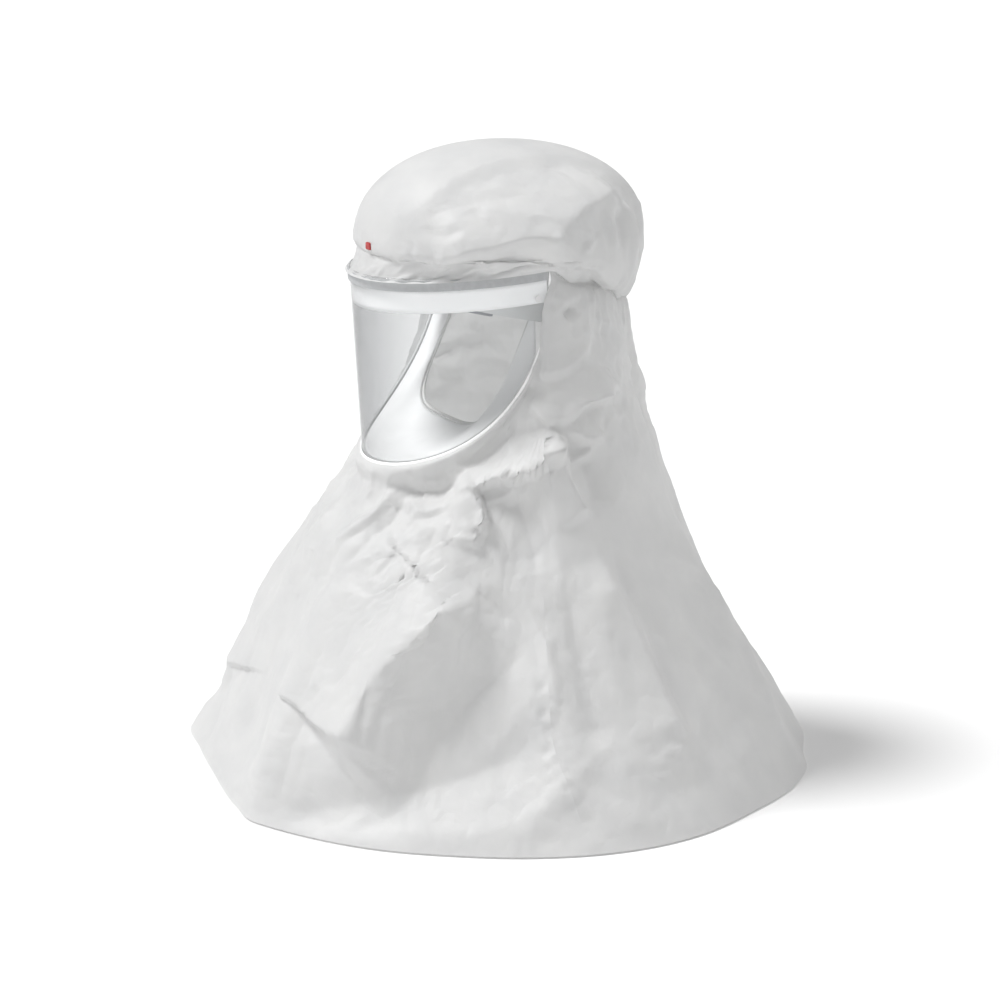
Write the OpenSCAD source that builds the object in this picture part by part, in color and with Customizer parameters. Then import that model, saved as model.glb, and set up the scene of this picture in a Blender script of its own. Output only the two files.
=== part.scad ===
// Hood of a powered air respirator: fabric bonnet and shoulder cape, wrap-round visor,
// head suspension with a dial, and the duct that brings air from the hose socket to the brow.
// Frame: +Z up, -Y is the wearer's front, +X is the wearer's left. The hem lies on Z = 0.

/* [Fabric] */
// Wall of the fabric shells
fabric_t = 1.6; // [1:0.2:3]
// Radius of the round hem
hem_r = 315; // [260:5:360]
// Height of the gathered nape seam at the back
nape_z = 468; // [460:1:480]
// Depth from the visor centre to the nape seam
nape_depth = 116; // [112:1:120]
// Half width of the bonnet
crown_w = 126; // [122:1:150]
// Reach of the bonnet behind the axis
crown_rear = 149; // [146:1:170]
// Reach of the bonnet in front of the axis
crown_front = 146; // [142:1:166]
// Top of the bonnet
crown_top_z = 620; // [618:1:680]

/* [Visor] */
// Half width of the lens across the face
visor_w = 105; // [102:1:120]
// Reach of the lens in front of its ends
visor_d = 148; // [140:1:165]
// Height of the lens from its top edge to the chin
visor_h = 187; // [170:1:200]
// Thickness of the lens
lens_t = 1; // [0.5:0.1:1.5]
// Forward lean of the visor
visor_lean = 3.6; // [0:0.2:6]
// Height of the lens's top edge at its ends
visor_top_z = 514; // [510:1:530]
// Height of the stiff brow band
brow_band_h = 22; // [18:1:28]
// Width of the binding along the lens's lower edge
trim_w = 6; // [4:0.5:9]
// Drop of the brow band below the lens's top edge
brow_drop = 12; // [9:1:14]

/* [Face seal] */
// Half width of the face opening
face_w = 72; // [60:1:78]
// Diameter of the elastic cord round the face opening
face_cord_d = 3; // [2:0.5:4]

/* [Head suspension] */
// Half width of the headband
band_w = 78; // [70:1:80]
// Half length of the headband
band_l = 95; // [88:1:96]
// Height of the headband strip
band_h = 22; // [18:1:26]
// Thickness of the headband strip
band_t = 1.8; // [1.2:0.2:2.4]
// Slope of the headband, down towards the nape
band_slope = 13; // [8:1:16]
// Height of the headband's centre
band_z = 466; // [460:1:470]
// Width of each crown strap
strap_w = 18; // [12:1:24]
// Thickness of each crown strap
strap_t = 1.4; // [1:0.2:2]
// Rise of the crown straps above the headband
strap_rise = 116; // [100:1:118]

/* [Size dial] */
// Radius of the dial knob
knob_r = 15.5; // [12:0.5:16]
// Teeth on the pinion
pinion_teeth = 10; // [8:1:12]
// Module of the pinion and racks
gear_module = 1; // [0.8:0.1:1.1]
// Travel of the rear cradle from largest to smallest size
size_travel = 16; // [8:1:18]

/* [Air path] */
// Radius of the hose socket's bore
socket_r = 15.5; // [14:0.5:17]
// Wall of the hose socket
socket_wall = 2; // [1.5:0.5:3]
// Length of the hose socket
socket_l = 40; // [36:1:46]
// Width of the overhead duct
duct_w = 62; // [50:1:70]
// Height of the overhead duct
duct_h = 12; // [10:1:14]
// Wall of the moulded duct parts
duct_wall = 1.4; // [1:0.2:2]
// Radius of the overhead duct's inner face
duct_r = 101; // [99:1:104]
// Slope of the hose socket from straight down
socket_slope = 26; // [25:1:30]
// Number of air slots in the diffuser
slot_count = 9; // [5:2:11]

/* [Hidden] */

clear = 0.3;            // gap between pieces that don't touch
touch = 0.1;            // gap between pieces that lie face to face
run_gap = 0.06;         // radial clearance of a turning pin
visor_y = -6;           // centre of the lens's plan ellipse
lens_power = 2.2;       // squareness of the lens's lower edge
brow_t = 1.8;           // thickness of the brow band
seal_t = 2;             // thickness of the foam brow seal
visor_centre = [0, visor_y, visor_top_z];
seam_angle = 77;        // side seams of the cape, measured from the front
cape_slices = 12;       // levels from hem to neck
rib = 0.8;              // relief of moulded ribs
$fn = 64;

// ---- shared curves ----

function lerp(a, b, k) = a + (b - a) * k;
function bezier(a, b, c, k) = (1 - k) * (1 - k) * a + 2 * k * (1 - k) * b + k * k * c;
function smooth(k) = let (u = max(0, min(1, k))) u * u * (3 - 2 * u);
function super_cos(a, p) = sign(cos(a)) * pow(abs(cos(a)), 2 / p);
function super_sin(a, p) = sign(sin(a)) * pow(abs(sin(a)), 2 / p);
function lean(p, angle) = [p.x, p.y * cos(angle) - p.z * sin(angle), p.y * sin(angle) + p.z * cos(angle)];

// Position in the row frame of a point given in the visor's own leaning frame.
function from_visor(p) = visor_centre + lean(p, visor_lean);

// Plan position on the lens's ellipse, grown outwards by g, at t degrees from the front.
function visor_plan(t, g) = [(visor_w + g) * sin(t), -(visor_d + g) * cos(t)];

// Share of the half width run along the lens at t degrees.
function lens_run(t) = abs(t) / 90 - 0.054 * sin(2 * abs(t));

// Depth of the lens below its top edge at t degrees.
function lens_depth(t) = visor_h * pow(max(0, 1 - pow(lens_run(t), lens_power)), 1 / lens_power);

// A grid of points as a closed sheet: outer and inner are lists of columns, each from bottom to top.
// round closes the first column on the last; cap closes the top ring with a flat face.
module sheet_solid(outer, inner, round = false, cap = false) {
    n = len(outer);
    m = len(outer[0]);
    size = n * m;
    last = round ? n : n - 1;
    function out(i, j) = (i % n) * m + j;
    function in(i, j) = size + (i % n) * m + j;
    points = concat([for (c = outer) each c], [for (c = inner) each c]);
    walls = [for (i = [0:last - 1], j = [0:m - 2]) each [
        [out(i, j), out(i, j + 1), out(i + 1, j + 1)], [out(i, j), out(i + 1, j + 1), out(i + 1, j)],
        [in(i, j), in(i + 1, j + 1), in(i, j + 1)], [in(i, j), in(i + 1, j), in(i + 1, j + 1)]]];
    foot = [for (i = [0:last - 1]) each [
        [out(i, 0), out(i + 1, 0), in(i + 1, 0)], [out(i, 0), in(i + 1, 0), in(i, 0)]]];
    head = cap
        ? [[for (i = [n - 1:-1:0]) out(i, m - 1)], [for (i = [0:n - 1]) in(i, m - 1)]]
        : [for (i = [0:last - 1]) each [
            [out(i, m - 1), in(i + 1, m - 1), out(i + 1, m - 1)],
            [out(i, m - 1), in(i, m - 1), in(i + 1, m - 1)]]];
    ends = round ? [] : [for (j = [0:m - 2]) each [
        [out(0, j), in(0, j), in(0, j + 1)], [out(0, j), in(0, j + 1), out(0, j + 1)],
        [out(n - 1, j), in(n - 1, j + 1), in(n - 1, j)],
        [out(n - 1, j), out(n - 1, j + 1), in(n - 1, j + 1)]]];
    polyhedron(points, concat(walls, foot, head, ends), convexity = 8);
}

// A strip of the visor's wall between two depths, from t = -reach to reach.
module visor_strip(inner_g, outer_g, top, bottom, reach, steps, slices) {
    function column(t, g) = [for (j = [0:slices])
        from_visor([visor_plan(t, g).x, visor_plan(t, g).y, -lerp(bottom(t), top(t), j / slices)])];
    angles = [for (i = [0:steps]) lerp(-reach, reach, i / steps)];
    sheet_solid([for (t = angles) column(t, outer_g)], [for (t = angles) column(t, inner_g)]);
}

// ---- fabric ----

// Nape seam: an ellipse from the visor's corners round the back, dropping towards the nape.
function nape_point(a, g) = let (s = (abs(a) - seam_angle) / (180 - seam_angle), t = 90 + 90 * s)
    [sign(a) * (visor_w + g) * sin(t), visor_y - (nape_depth + g) * cos(t),
        lerp(visor_top_z - 16, nape_z, smooth(s))];

// Point on the visor's lower edge under the cape's front panel, grown outwards by g.
function visor_rim(a, g) = let (t = a / seam_angle * 88)
    from_visor([visor_plan(t, g).x, visor_plan(t, g).y, -lens_depth(t) - 4 * clear]);

function cape_top(a, g) = abs(a) <= seam_angle ? visor_rim(a, g)
    : let (p = nape_point(a, g + 14 * smooth((abs(a) - seam_angle) / 30)))
        p - [0, 0, 16 * smooth((abs(a) - seam_angle) / 30)];

function cape_hem(a, g) = [(hem_r + g) * sin(a), -(hem_r + g) * cos(a), 0];

// Control point that bends the cape's fall: straight at the front, hollow at the sides and back.
function cape_waist(a, g) = let (k = smooth((abs(a) - 10) / 55), waist = 137 + g,
        front = (cape_top(a, g) + cape_hem(a, g)) / 2)
    lerp(front, [waist * sin(a), -waist * cos(a) + 8, 280], k);

function cape_column(a, g, inset) = [for (j = [0:cape_slices])
    let (p = bezier(cape_hem(a, g), cape_waist(a, g), cape_top(a, g), j / cape_slices))
        j == 0 ? [p.x, p.y, 0] : p - [0, 0, inset * smooth(j / cape_slices)]];

module cape_panel(from, to, steps, with_gather) {
    angles = [for (i = [0:steps]) lerp(from, to, i / steps)];
    function wrapped(a) = a > 180 ? a - 360 : a;
    function column(a, g) = concat(cape_column(wrapped(a), g, g == 0 ? 0 : fabric_t),
        with_gather ? [nape_point(wrapped(a), g)] : []);
    color("white") sheet_solid([for (a = angles) column(a, 0)], [for (a = angles) column(a, -fabric_t)]);
}

module cape_front() {
    cape_panel(-seam_angle, seam_angle, 36, false);
}

module cape_back() {
    cape_panel(seam_angle + 0.2, 360 - seam_angle - 0.2, 44, true);
}

crown_power = 2.15;     // squareness of the bonnet's side view
crown_belt_z = 530;     // height of the bonnet's widest level
brow_overlap = 1.5;     // how far the bonnet's edge comes down over the visor
brow_offset = lens_t + seal_t + 2 * touch + fabric_t + clear; // bonnet's edge, outwards from the lens
crown_slices = 12;
crown_steps = 48;

// Lower edge of the bonnet: over the visor's top in front, at the gathered seam behind.
// It drops to the seam just behind the visor's corner.
function crown_edge(a, g) = abs(a) <= 90
    ? from_visor([visor_plan(a, brow_offset + g).x, visor_plan(a, brow_offset + g).y, -brow_overlap])
    : let (s = (abs(a) - 90) / 90, t = 90 + 90 * s, corner_drop = 13.5, corner_share = 0.14)
        [sign(a) * (visor_w + brow_offset + g - 3 * s) * sin(t), visor_y - (nape_depth + 4 + g) * cos(t),
            lerp(visor_top_z - brow_overlap - corner_drop * smooth(s / corner_share), nape_z + 4, smooth(s))];

function crown_reach(a) = abs(a) < 90 ? crown_front : crown_rear;

// Sag of the bonnet's bag below its belt: shallow over the visor, deep at the nape.
function crown_sag(a) = lerp(26, 106, smooth((abs(a) - 80) / 90));

// How far the bonnet's side view turns under its belt.
function crown_tuck(a) = lerp(-6, -32, smooth((abs(a) - 70) / 90));

function crown_dome(a, f, g) = let (r = super_cos(f, crown_power), lift = f > 0
        ? (crown_top_z + g - crown_belt_z) * super_sin(f, crown_power)
        : crown_sag(a) * sin(f))
    [(crown_w + g) * r * sin(a), -(crown_reach(a) + g) * r * cos(a), crown_belt_z + lift];

function crown_column(a, g) = concat([crown_edge(a, g)],
    [for (j = [0:crown_slices]) crown_dome(a, lerp(crown_tuck(a), 86, j / crown_slices), g)]);

module hood_crown() {
    angles = [for (i = [0:crown_steps - 1]) lerp(-180, 180, (i + 0.5) / crown_steps)];
    color("white") difference() {
        sheet_solid([for (a = angles) crown_column(a, 0)],
            [for (a = angles) crown_column(a, -fabric_t)], round = true, cap = true);
        at_socket(-elbow_l) cylinder(r = socket_outer + ring_t + 0.6, h = elbow_l + socket_l + 20);
    }
}

// Elastic tape sewn inside the gathered seam, from one visor corner round the back to the other.
module nape_elastic() {
    tape_h = 7;
    angles = [for (i = [0:40]) lerp(seam_angle + 6, 360 - seam_angle - 6, i / 40)];
    function edge(a, g, dz) = nape_point(a > 180 ? a - 360 : a, g) + [0, 0, dz];
    color("gainsboro") sheet_solid(
        [for (a = angles) [edge(a, -fabric_t - clear, -tape_h), edge(a, -fabric_t - clear, 0)]],
        [for (a = angles) [edge(a, -fabric_t - clear - 1.2, -tape_h), edge(a, -fabric_t - clear - 1.2, 0)]]);
}

// Plain sewn tab on the bonnet's front panel.
module label_patch() {
    tab = [9, 1, 7];
    color("firebrick") translate([3, -crown_front - tab.y / 2 - clear, crown_belt_z]) cube(tab, center = true);
}

// ---- visor ----

visor_reach = 88;       // the lens's ends, in degrees from the front

rivet_y = -14;          // rivets, forward of the lens's ends
rivet_depth = brow_drop + brow_band_h - 5;
rivet_r = 1.4;

// Places children on each rivet's axis, with +Z outwards.
module at_rivets(x) {
    for (side = [-1, 1]) at_visor([side * x, rivet_y, -rivet_depth]) rotate([0, side * 90, 0]) children();
}

module visor_lens() {
    color("lightgray") difference() {
        visor_strip(0, lens_t, function(t) 0, function(t) lens_depth(t), visor_reach, 56, 6);
        at_rivets(visor_w - 6) cylinder(r = rivet_r + touch, h = 12);
    }
}

module visor_brow_band() {
    color("white") difference() {
        visor_strip(-touch - brow_t, -touch, function(t) brow_drop,
            function(t) min(brow_drop + brow_band_h, lens_depth(t)), 86, 44, 1);
        at_rivets(visor_w - 6) cylinder(r = rivet_r + touch, h = 12);
    }
}

module visor_brow_seal() {
    color("silver") visor_strip(lens_t + touch, lens_t + touch + seal_t, function(t) brow_overlap,
        function(t) brow_drop, 86, 44, 1);
}

// Binding folded over the lens's lower edge: an outside strip along the edge.
module visor_edge_trim() {
    color("whitesmoke") visor_strip(lens_t + touch, lens_t + touch + 1.2,
        function(t) max(brow_drop + 1, lens_depth(t) - trim_w), function(t) max(brow_drop + 2, lens_depth(t) + 0),
        87, 60, 1);
}

module at_visor(p) {
    translate(from_visor(p)) rotate([visor_lean, 0, 0]) children();
}

module visor_rivets() {
    color("whitesmoke") at_rivets(visor_w + lens_t + touch) {
        cylinder(r = 3.2, h = 1.4);
        translate([0, 0, -8]) cylinder(r = rivet_r, h = 8.1);
    }
}

// ---- face seal ----

face_z = 350;           // bottom of the face opening
face_top_z = 474;       // where the opening's sides meet the brow
face_y = -61;           // bottom of the opening, from the axis
face_top_y = 2;         // top of the opening's sides

// Edge of the U-shaped face opening, u from -1 to 1 across it.
function face_edge(u) = let (a = abs(u), k = smooth(a * 1.05))
    [sign(u) * face_w * pow(1 - pow(1 - min(1, a * 1.7), 2), 0.5),
        lerp(face_y, face_top_y, pow(a, 1.7)), lerp(face_z, face_top_z, pow(a, 1.9))];

function seal_rim(u, g) = let (t = u * 84)
    from_visor([visor_plan(t, -2.4 + g).x, visor_plan(t, -2.4 + g).y, -max(35, lens_depth(t) - 1.5)]);

function seal_normal(u) = let (n = cross(seal_rim(u + 0.01, 0) - seal_rim(u - 0.01, 0),
        face_edge(u) - seal_rim(u, 0))) n / norm(n);

module face_seal() {
    t = 1.4;
    across = [for (i = [0:36]) lerp(-0.97, 0.97, i / 36)];
    function column(u, s) = [for (j = [0:5]) let (k = j / 5)
        lerp(seal_rim(u, 0), face_edge(u), k) + s * seal_normal(u) + [0, 0, -5 * sin(180 * k)]];
    color("white") sheet_solid([for (u = across) column(u, 0)], [for (u = across) column(u, t)]);
}

// Round elastic cord along the face opening's edge.
module face_seal_elastic() {
    sides = 8;
    steps = 34;
    path = [for (i = [0:steps]) let (u = lerp(-0.95, 0.95, i / steps), p = face_edge(u), c = seal_rim(u, 0),
        d = (p - c) / norm(p - c)) p + d * (face_cord_d / 2 + 2.2)];
    function ring(i) = let (a = path[max(0, i - 1)], b = path[min(steps, i + 1)], d = (b - a) / norm(b - a),
            n = cross(d, [0.2, 1, 0.1]), e1 = n / norm(n), e2 = cross(d, e1))
        [for (s = [0:sides - 1]) path[i] + face_cord_d / 2 * (cos(s * 45) * e1 + sin(s * 45) * e2)];
    points = [for (i = [0:steps]) each ring(i)];
    wall = [for (i = [0:steps - 1], s = [0:sides - 1]) let (a = i * sides + s, b = i * sides + (s + 1) % sides)
        each [[a, b, b + sides], [a, b + sides, a + sides]]];
    ends = [[for (s = [sides - 1:-1:0]) s], [for (s = [0:sides - 1]) steps * sides + s]];
    color("gainsboro") polyhedron(points, concat(wall, ends), convexity = 8);
}

// ---- head suspension, drawn flat in the headband's own frame ----

arm_gap = 0.5;          // between the headband's sides and the cradle's arms
arm_x = band_w + band_t + arm_gap;
side_end = 30;          // rear end of the headband's straight sides
arm_front = 4;          // front end of the cradle's arms
arm_bend = side_end + size_travel; // where the cradle's arms turn inwards

module in_band() {
    translate([0, 0, band_z]) rotate([-band_slope, 0, 0]) children();
}

// A strip along a plan curve given by a list of points, grown outwards by t.
module plan_strip(inner, outer, h) {
    linear_extrude(h, center = true) plan_outline(inner, outer);
}

function arc_points(rx, ry, from, to, steps) = [for (i = [0:steps]) let (t = lerp(from, to, i / steps))
    [rx * sin(t), -ry * cos(t)]];

function head_loop(g) = concat([[-(band_w + g), side_end]], arc_points(band_w + g, band_l + g, -90, 90, 60),
    [[band_w + g, side_end]]);

module headband() {
    color("ghostwhite") in_band() difference() {
        plan_strip(head_loop(0), head_loop(band_t), band_h);
        for (t = [-60:24:60]) if (abs(t) > 1) rotate([0, 0, t]) translate([0, -band_l, 0])
            rotate([90, 0, 0]) cylinder(r = 2, h = 40, center = true);
    }
}

module sweatband() {
    foam = 3;
    color("lightgray") in_band() plan_strip(
        arc_points(band_w - touch - foam, band_l - touch - foam, -62, 62, 40),
        arc_points(band_w - touch, band_l - touch, -62, 62, 40), band_h + 6);
}

// Sleeves that hold the cradle's arms against the headband's sides.
module band_guides() {
    guide = [1.4, 9];
    color("ghostwhite") in_band() for (side = [-1, 1]) difference() {
        translate([side * (band_w + band_t + arm_gap / 2), side_end - 8, 0])
            cube([2 * (band_t + guide.x) + arm_gap + 1, guide.y, band_h + 2 * guide.x + 0.8], center = true);
        translate([side * (band_w + band_t + arm_gap / 2), side_end - 8, 0])
            cube([2 * band_t + arm_gap + 0.8, guide.y + 1, band_h + 0.8], center = true);
    }
}

// Hanger from the headband's side to the brow band's corner rivet.
module bracket(side) {
    rivet = from_visor([side * (visor_w - touch - brow_t), rivet_y, -rivet_depth]);
    foot_x = band_w + band_t - 0.5;
    reach = visor_w - touch - brow_t - 1.4 - foot_x;
    color("ghostwhite") difference() {
        translate([side * (foot_x + reach / 2), rivet.y - 1, rivet.z]) cube([reach, 14, 11], center = true);
        translate([side * (foot_x + reach - 6), rivet.y, rivet.z]) rotate([0, side * 90, 0])
            cylinder(r = rivet_r + touch, h = 12);
    }
}

module bracket_left() {
    bracket(1);
}

module bracket_right() {
    bracket(-1);
}

// ---- rear cradle and size dial: y runs outwards from the nape ----

rear_y = band_l + band_t;
base_t = 1.6;
rack_t = 2;
rack_y = rear_y + base_t + 0.2;
cover_y = rack_y + rack_t + 0.2;
cover_t = 1.8;
knob_y = cover_y + cover_t + clear;
knob_h = 6.4;
house = [48, 30];       // housing width and height
shaft_r = 2.5;
pitch_r = gear_module * pinion_teeth / 2;
rack_add = 0.55 * gear_module;
rack_ded = 1.1 * gear_module;
rack_body = 3.2;

// Plan of the cradle: two straight arms and a half ellipse round the nape, grown outwards by g.
function cradle_loop(g) = concat([[-(arm_x + g), arm_front], [-(arm_x + g), arm_bend]],
    [for (i = [1:39]) let (t = 180 * i / 40)
        [-(arm_x + g) * cos(t), arm_bend + (rear_y - arm_bend - band_t + g) * sin(t)]],
    [[arm_x + g, arm_bend], [arm_x + g, arm_front]]);

module rear_cradle() {
    color("ghostwhite") in_band() {
        plan_strip(cradle_loop(0), cradle_loop(band_t), band_h - 4);
        translate([0, rear_y + base_t / 2 - 0.1, 0]) cube([house.x, base_t + 0.2, house.y], center = true);
        translate([0, rear_y - 1.4, 0]) cube([30, 2.4, band_h - 4], center = true);
    }
}

module nape_pad() {
    foam = 3.5;
    color("lightgray") in_band() plan_strip(
        [for (t = [45:5:135]) [(arm_x - touch - foam) * cos(t),
            arm_bend + (rear_y - arm_bend - band_t - 1 - foam) * sin(t)]],
        [for (t = [45:5:135]) [(arm_x - touch) * cos(t),
            arm_bend + (rear_y - arm_bend - band_t - 1) * sin(t)]], band_h);
}

module along_y(y) {
    translate([0, y, 0]) rotate([-90, 0, 0]) children();
}

module dial_cover() {
    wall = (house.y - 2 * (pitch_r + rack_ded + rack_body + 0.3)) / 2;
    color("gainsboro") in_band() difference() {
        translate([0, (rear_y + base_t + touch + cover_y + cover_t) / 2, 0])
            cube([house.x, cover_y + cover_t - rear_y - base_t - touch, house.y], center = true);
        translate([0, rear_y + base_t, 0])
            cube([house.x + 2, 2 * (cover_y - rear_y - base_t), house.y - 2 * wall], center = true);
        along_y(rear_y) cylinder(r = shaft_r + run_gap, h = 20);
        for (x = [-1, 1], z = [-1, 1]) translate([x * (house.x / 2 - 3), 0, z * (house.y / 2 - 2.2)])
            along_y(rear_y) cylinder(r = 1, h = 20);
    }
}

module cover_screws() {
    color("silver") in_band() for (x = [-1, 1], z = [-1, 1])
        translate([x * (house.x / 2 - 3), 0, z * (house.y / 2 - 2.2)]) {
            along_y(cover_y + cover_t + touch) cylinder(r = 1.9, h = 1);
            along_y(rear_y + base_t + 0.4) cylinder(r = 0.95, h = cover_y + cover_t - rear_y - base_t);
        }
}

// Half angle of a pinion tooth at radius r, for 20 degree involute flanks.
function involute(r) = let (b = pitch_r * cos(20), k = sqrt(max(0, r * r / (b * b) - 1)))
    k * 180 / PI - atan(k);
function tooth_half(r) = 90 / pinion_teeth - 1.6 + involute(pitch_r) - involute(r);

module pinion_outline() {
    tip = pitch_r + 0.8 * gear_module;
    root = pitch_r - 0.9 * gear_module;
    base = pitch_r * cos(20) + 0.01;
    radii = [for (i = [0:5]) lerp(base, tip, i / 5)];
    circle(r = root, $fn = 48);
    for (i = [0:pinion_teeth - 1]) rotate(90 + i * 360 / pinion_teeth) polygon(concat(
        [[root - 0.6, -root * sin(tooth_half(base))]],
        [for (r = radii) [r * cos(tooth_half(r)), -r * sin(tooth_half(r))]],
        [for (i = [5:-1:0]) let (r = radii[i]) [r * cos(tooth_half(r)), r * sin(tooth_half(r))]],
        [[root - 0.6, root * sin(tooth_half(base))]]));
}

module dial_pinion() {
    color("silver") in_band() {
        along_y(rack_y) linear_extrude(rack_t) pinion_outline();
        along_y(rack_y + rack_t - 0.1) cylinder(r = shaft_r, h = knob_y - rack_y - rack_t + 0.1);
    }
}

module dial_knob() {
    ribs = 24;
    color("gray") in_band() difference() {
        union() {
            along_y(knob_y) cylinder(r = knob_r - 0.8, h = knob_h - 1.2);
            along_y(knob_y + knob_h - 1.2) cylinder(r1 = knob_r - 0.8, r2 = knob_r - 2.2, h = 1.2);
            for (i = [0:ribs - 1]) rotate([0, i * 360 / ribs, 0])
                translate([0, knob_y + (knob_h - 1.2) / 2, knob_r - 1]) cube([1.6, knob_h - 1.2, 2], center = true);
        }
        along_y(knob_y + knob_h - 2.4) cylinder(r = knob_r - 6, h = 4);
    }
}

// Rack of the strap from one side. Its teeth face the pinion; up is 1 for the upper rack.
module rack(up) {
    pitch = PI * gear_module;
    tall = pitch_r + rack_ded;
    front = 6;
    back = 36;
    half = pitch / 4 - 0.12;
    slope = tan(20);
    teeth = [for (i = [-5:1]) (i + 0.5) * pitch];
    outline = concat([[front, tall], [front, tall + rack_body], [-back, tall + rack_body], [-back, tall]],
        [for (x = teeth) each [[x - half - rack_ded * slope, tall], [x - half + rack_add * slope, pitch_r - rack_add],
            [x + half - rack_add * slope, pitch_r - rack_add], [x + half + rack_ded * slope, tall]]]);
    color("ghostwhite") in_band() along_y(rack_y) mirror([up > 0 ? 0 : 1, 0, 0])
        mirror([0, up > 0 ? 1 : 0, 0]) linear_extrude(rack_t) polygon(outline);
}

module rack_left() {
    rack(-1);
}

module rack_right() {
    rack(1);
}

// ---- crown straps ----

front_strap_y = -30;
rear_strap_y = 5;
strap_lift = 4.5;       // centre strap above the cross straps
strap_rivet_r = 1.5;

function dome_rise(y) = strap_rise * sqrt(max(0, 1 - pow(y / band_l, 2)));
function dome_half(y) = band_w * sqrt(max(0, 1 - pow(y / band_l, 2)));
function strap_arc(half, rise, from, to) = [for (i = [0:40]) let (t = lerp(from, to, i / 40))
    [half * cos(t), rise * sin(t)]];

// An arched strip from side to side, centred at y, with its outer face on the ellipse half by rise.
module arched_strip(y, half, rise, t, w, from, to) {
    in_band() translate([0, y, 0]) rotate([90, 0, 0])
        linear_extrude(w, center = true) plan_outline(strap_arc(half - t, rise - t, from, to),
            strap_arc(half, rise, from, to));
}

module plan_outline(inner, outer) {
    polygon(concat(inner, [for (i = [len(outer) - 1:-1:0]) outer[i]]));
}

// Half width of a cross strap, so that its front edge still fits inside the headband.
function cross_half(y) = y > 0 ? band_w - touch : dome_half(y - strap_w / 2) - clear;

module cross_strap(y) {
    color("ghostwhite") difference() {
        arched_strip(y, cross_half(y), dome_rise(y), strap_t, strap_w, 0, 180);
        at_strap_rivet(y) cylinder(r = strap_rivet_r + touch, h = 40, center = true);
    }
}

// Places children on the centre strap's outer face at y, with +Z outwards.
module at_strap_rivet(y) {
    reach = band_l + band_t;
    rise = strap_rise + strap_lift + strap_t + 0.6;
    in_band() translate([0, y, rise * sqrt(1 - pow(y / reach, 2))])
        rotate([-atan(rise / reach * (y / reach) / sqrt(1 - pow(y / reach, 2))), 0, 0]) children();
}

module crown_strap_front() {
    cross_strap(front_strap_y);
}

module crown_strap_rear() {
    cross_strap(rear_strap_y);
}

// Strap from the brow over both cross straps, ending behind the rear one.
module crown_strap_centre() {
    to = 110;
    function curve(g) = [for (i = [0:36]) let (t = to * i / 36)
        [-(band_l + band_t + g) * cos(t), (strap_rise + strap_lift + g) * sin(t)]];
    color("ghostwhite") difference() {
        in_band() rotate([90, 0, 90]) linear_extrude(strap_w, center = true)
            plan_outline(curve(0.6), curve(strap_t + 0.6));
        for (y = [front_strap_y, rear_strap_y])
            at_strap_rivet(y) cylinder(r = strap_rivet_r + touch, h = 12, center = true);
    }
}

module strap_rivets() {
    color("silver") for (y = [front_strap_y, rear_strap_y]) at_strap_rivet(y) {
        translate([0, 0, 0.2]) cylinder(r = 3, h = 1.2);
        translate([0, 0, -9]) cylinder(r = strap_rivet_r, h = 9.3);
    }
}

// Foam pad on the rear cross strap's underside.
module crown_pad() {
    foam = 4;
    pad_t = strap_t + 0.5;
    color("lightgray") difference() {
        arched_strip(rear_strap_y, cross_half(rear_strap_y) - pad_t, dome_rise(rear_strap_y) - pad_t, foam,
            strap_w + 8, 72, 108);
        at_strap_rivet(rear_strap_y) cylinder(r = strap_rivet_r + 0.5, h = 40, center = true);
    }
}

// ---- air path: d runs along the socket, from the duct's rear end to its mouth ----

duct_centre = [0, -8, 500];
ring_t = 1.2;           // wall of the clamp ring
socket_outer = socket_r + socket_wall;
elbow_l = 34;
socket_offset = duct_r + socket_outer; // from the duct's centre to the socket's line

// Places children with +Z along the socket, s millimetres past the duct's rear end.
module at_socket(s) {
    translate(duct_centre) rotate([socket_slope, 0, 0]) translate([0, socket_offset, -elbow_l - s])
        mirror([0, 0, 1]) children();
}

module hose_socket() {
    color("whitesmoke") at_socket(0) difference() {
        cylinder(r = socket_outer, h = socket_l);
        translate([0, 0, -1]) cylinder(r = socket_r, h = socket_l + 2);
    }
}

module clamp_ring() {
    ring_w = 5;
    color("gray") at_socket(socket_l - ring_w - 2) difference() {
        cylinder(r = socket_outer + touch + ring_t, h = ring_w);
        translate([0, 0, -1]) cylinder(r = socket_outer + touch, h = ring_w + 2);
    }
}

// Flat end of the duct, shrunk by g on every side.
module duct_mouth(g, h) {
    translate([0, duct_r + duct_h / 2 - socket_offset, 0])
        linear_extrude(h) square([duct_w - 2 * g, duct_h - 2 * g], center = true);
}

module inlet_elbow() {
    color("whitesmoke") at_socket(-elbow_l) difference() {
        hull() {
            translate([0, 0, touch]) duct_mouth(0, 1);
            translate([0, 0, elbow_l - 2 - touch]) cylinder(r = socket_outer, h = 2, $fn = 32);
        }
        hull() {
            translate([0, 0, -1]) duct_mouth(duct_wall, 1);
            translate([0, 0, elbow_l]) cylinder(r = socket_r, h = 1, $fn = 32);
        }
    }
}

duct_front = 168;       // where the duct's front end stands, in degrees up and over from the back

module duct_sweep(g, spread) {
    translate(duct_centre) rotate([0, 90, 0]) rotate([0, 0, 90 - spread])
        rotate_extrude(angle = duct_front - socket_slope + 2 * spread, $fn = 96)
            translate([duct_r + g, -duct_w / 2 + g]) square([duct_h - 2 * g, duct_w - 2 * g]);
}

module air_duct() {
    color("whitesmoke") translate(duct_centre) rotate([socket_slope, 0, 0]) translate(-duct_centre)
        difference() {
            duct_sweep(0, 0);
            duct_sweep(duct_wall, 2);
        }
}

diffuser_top = 2;       // above the lens's top edge
diffuser_h = 13;
diffuser_reach = 42;
diffuser_side = 15;     // from the lens's side in to the diffuser's rear edge

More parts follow.
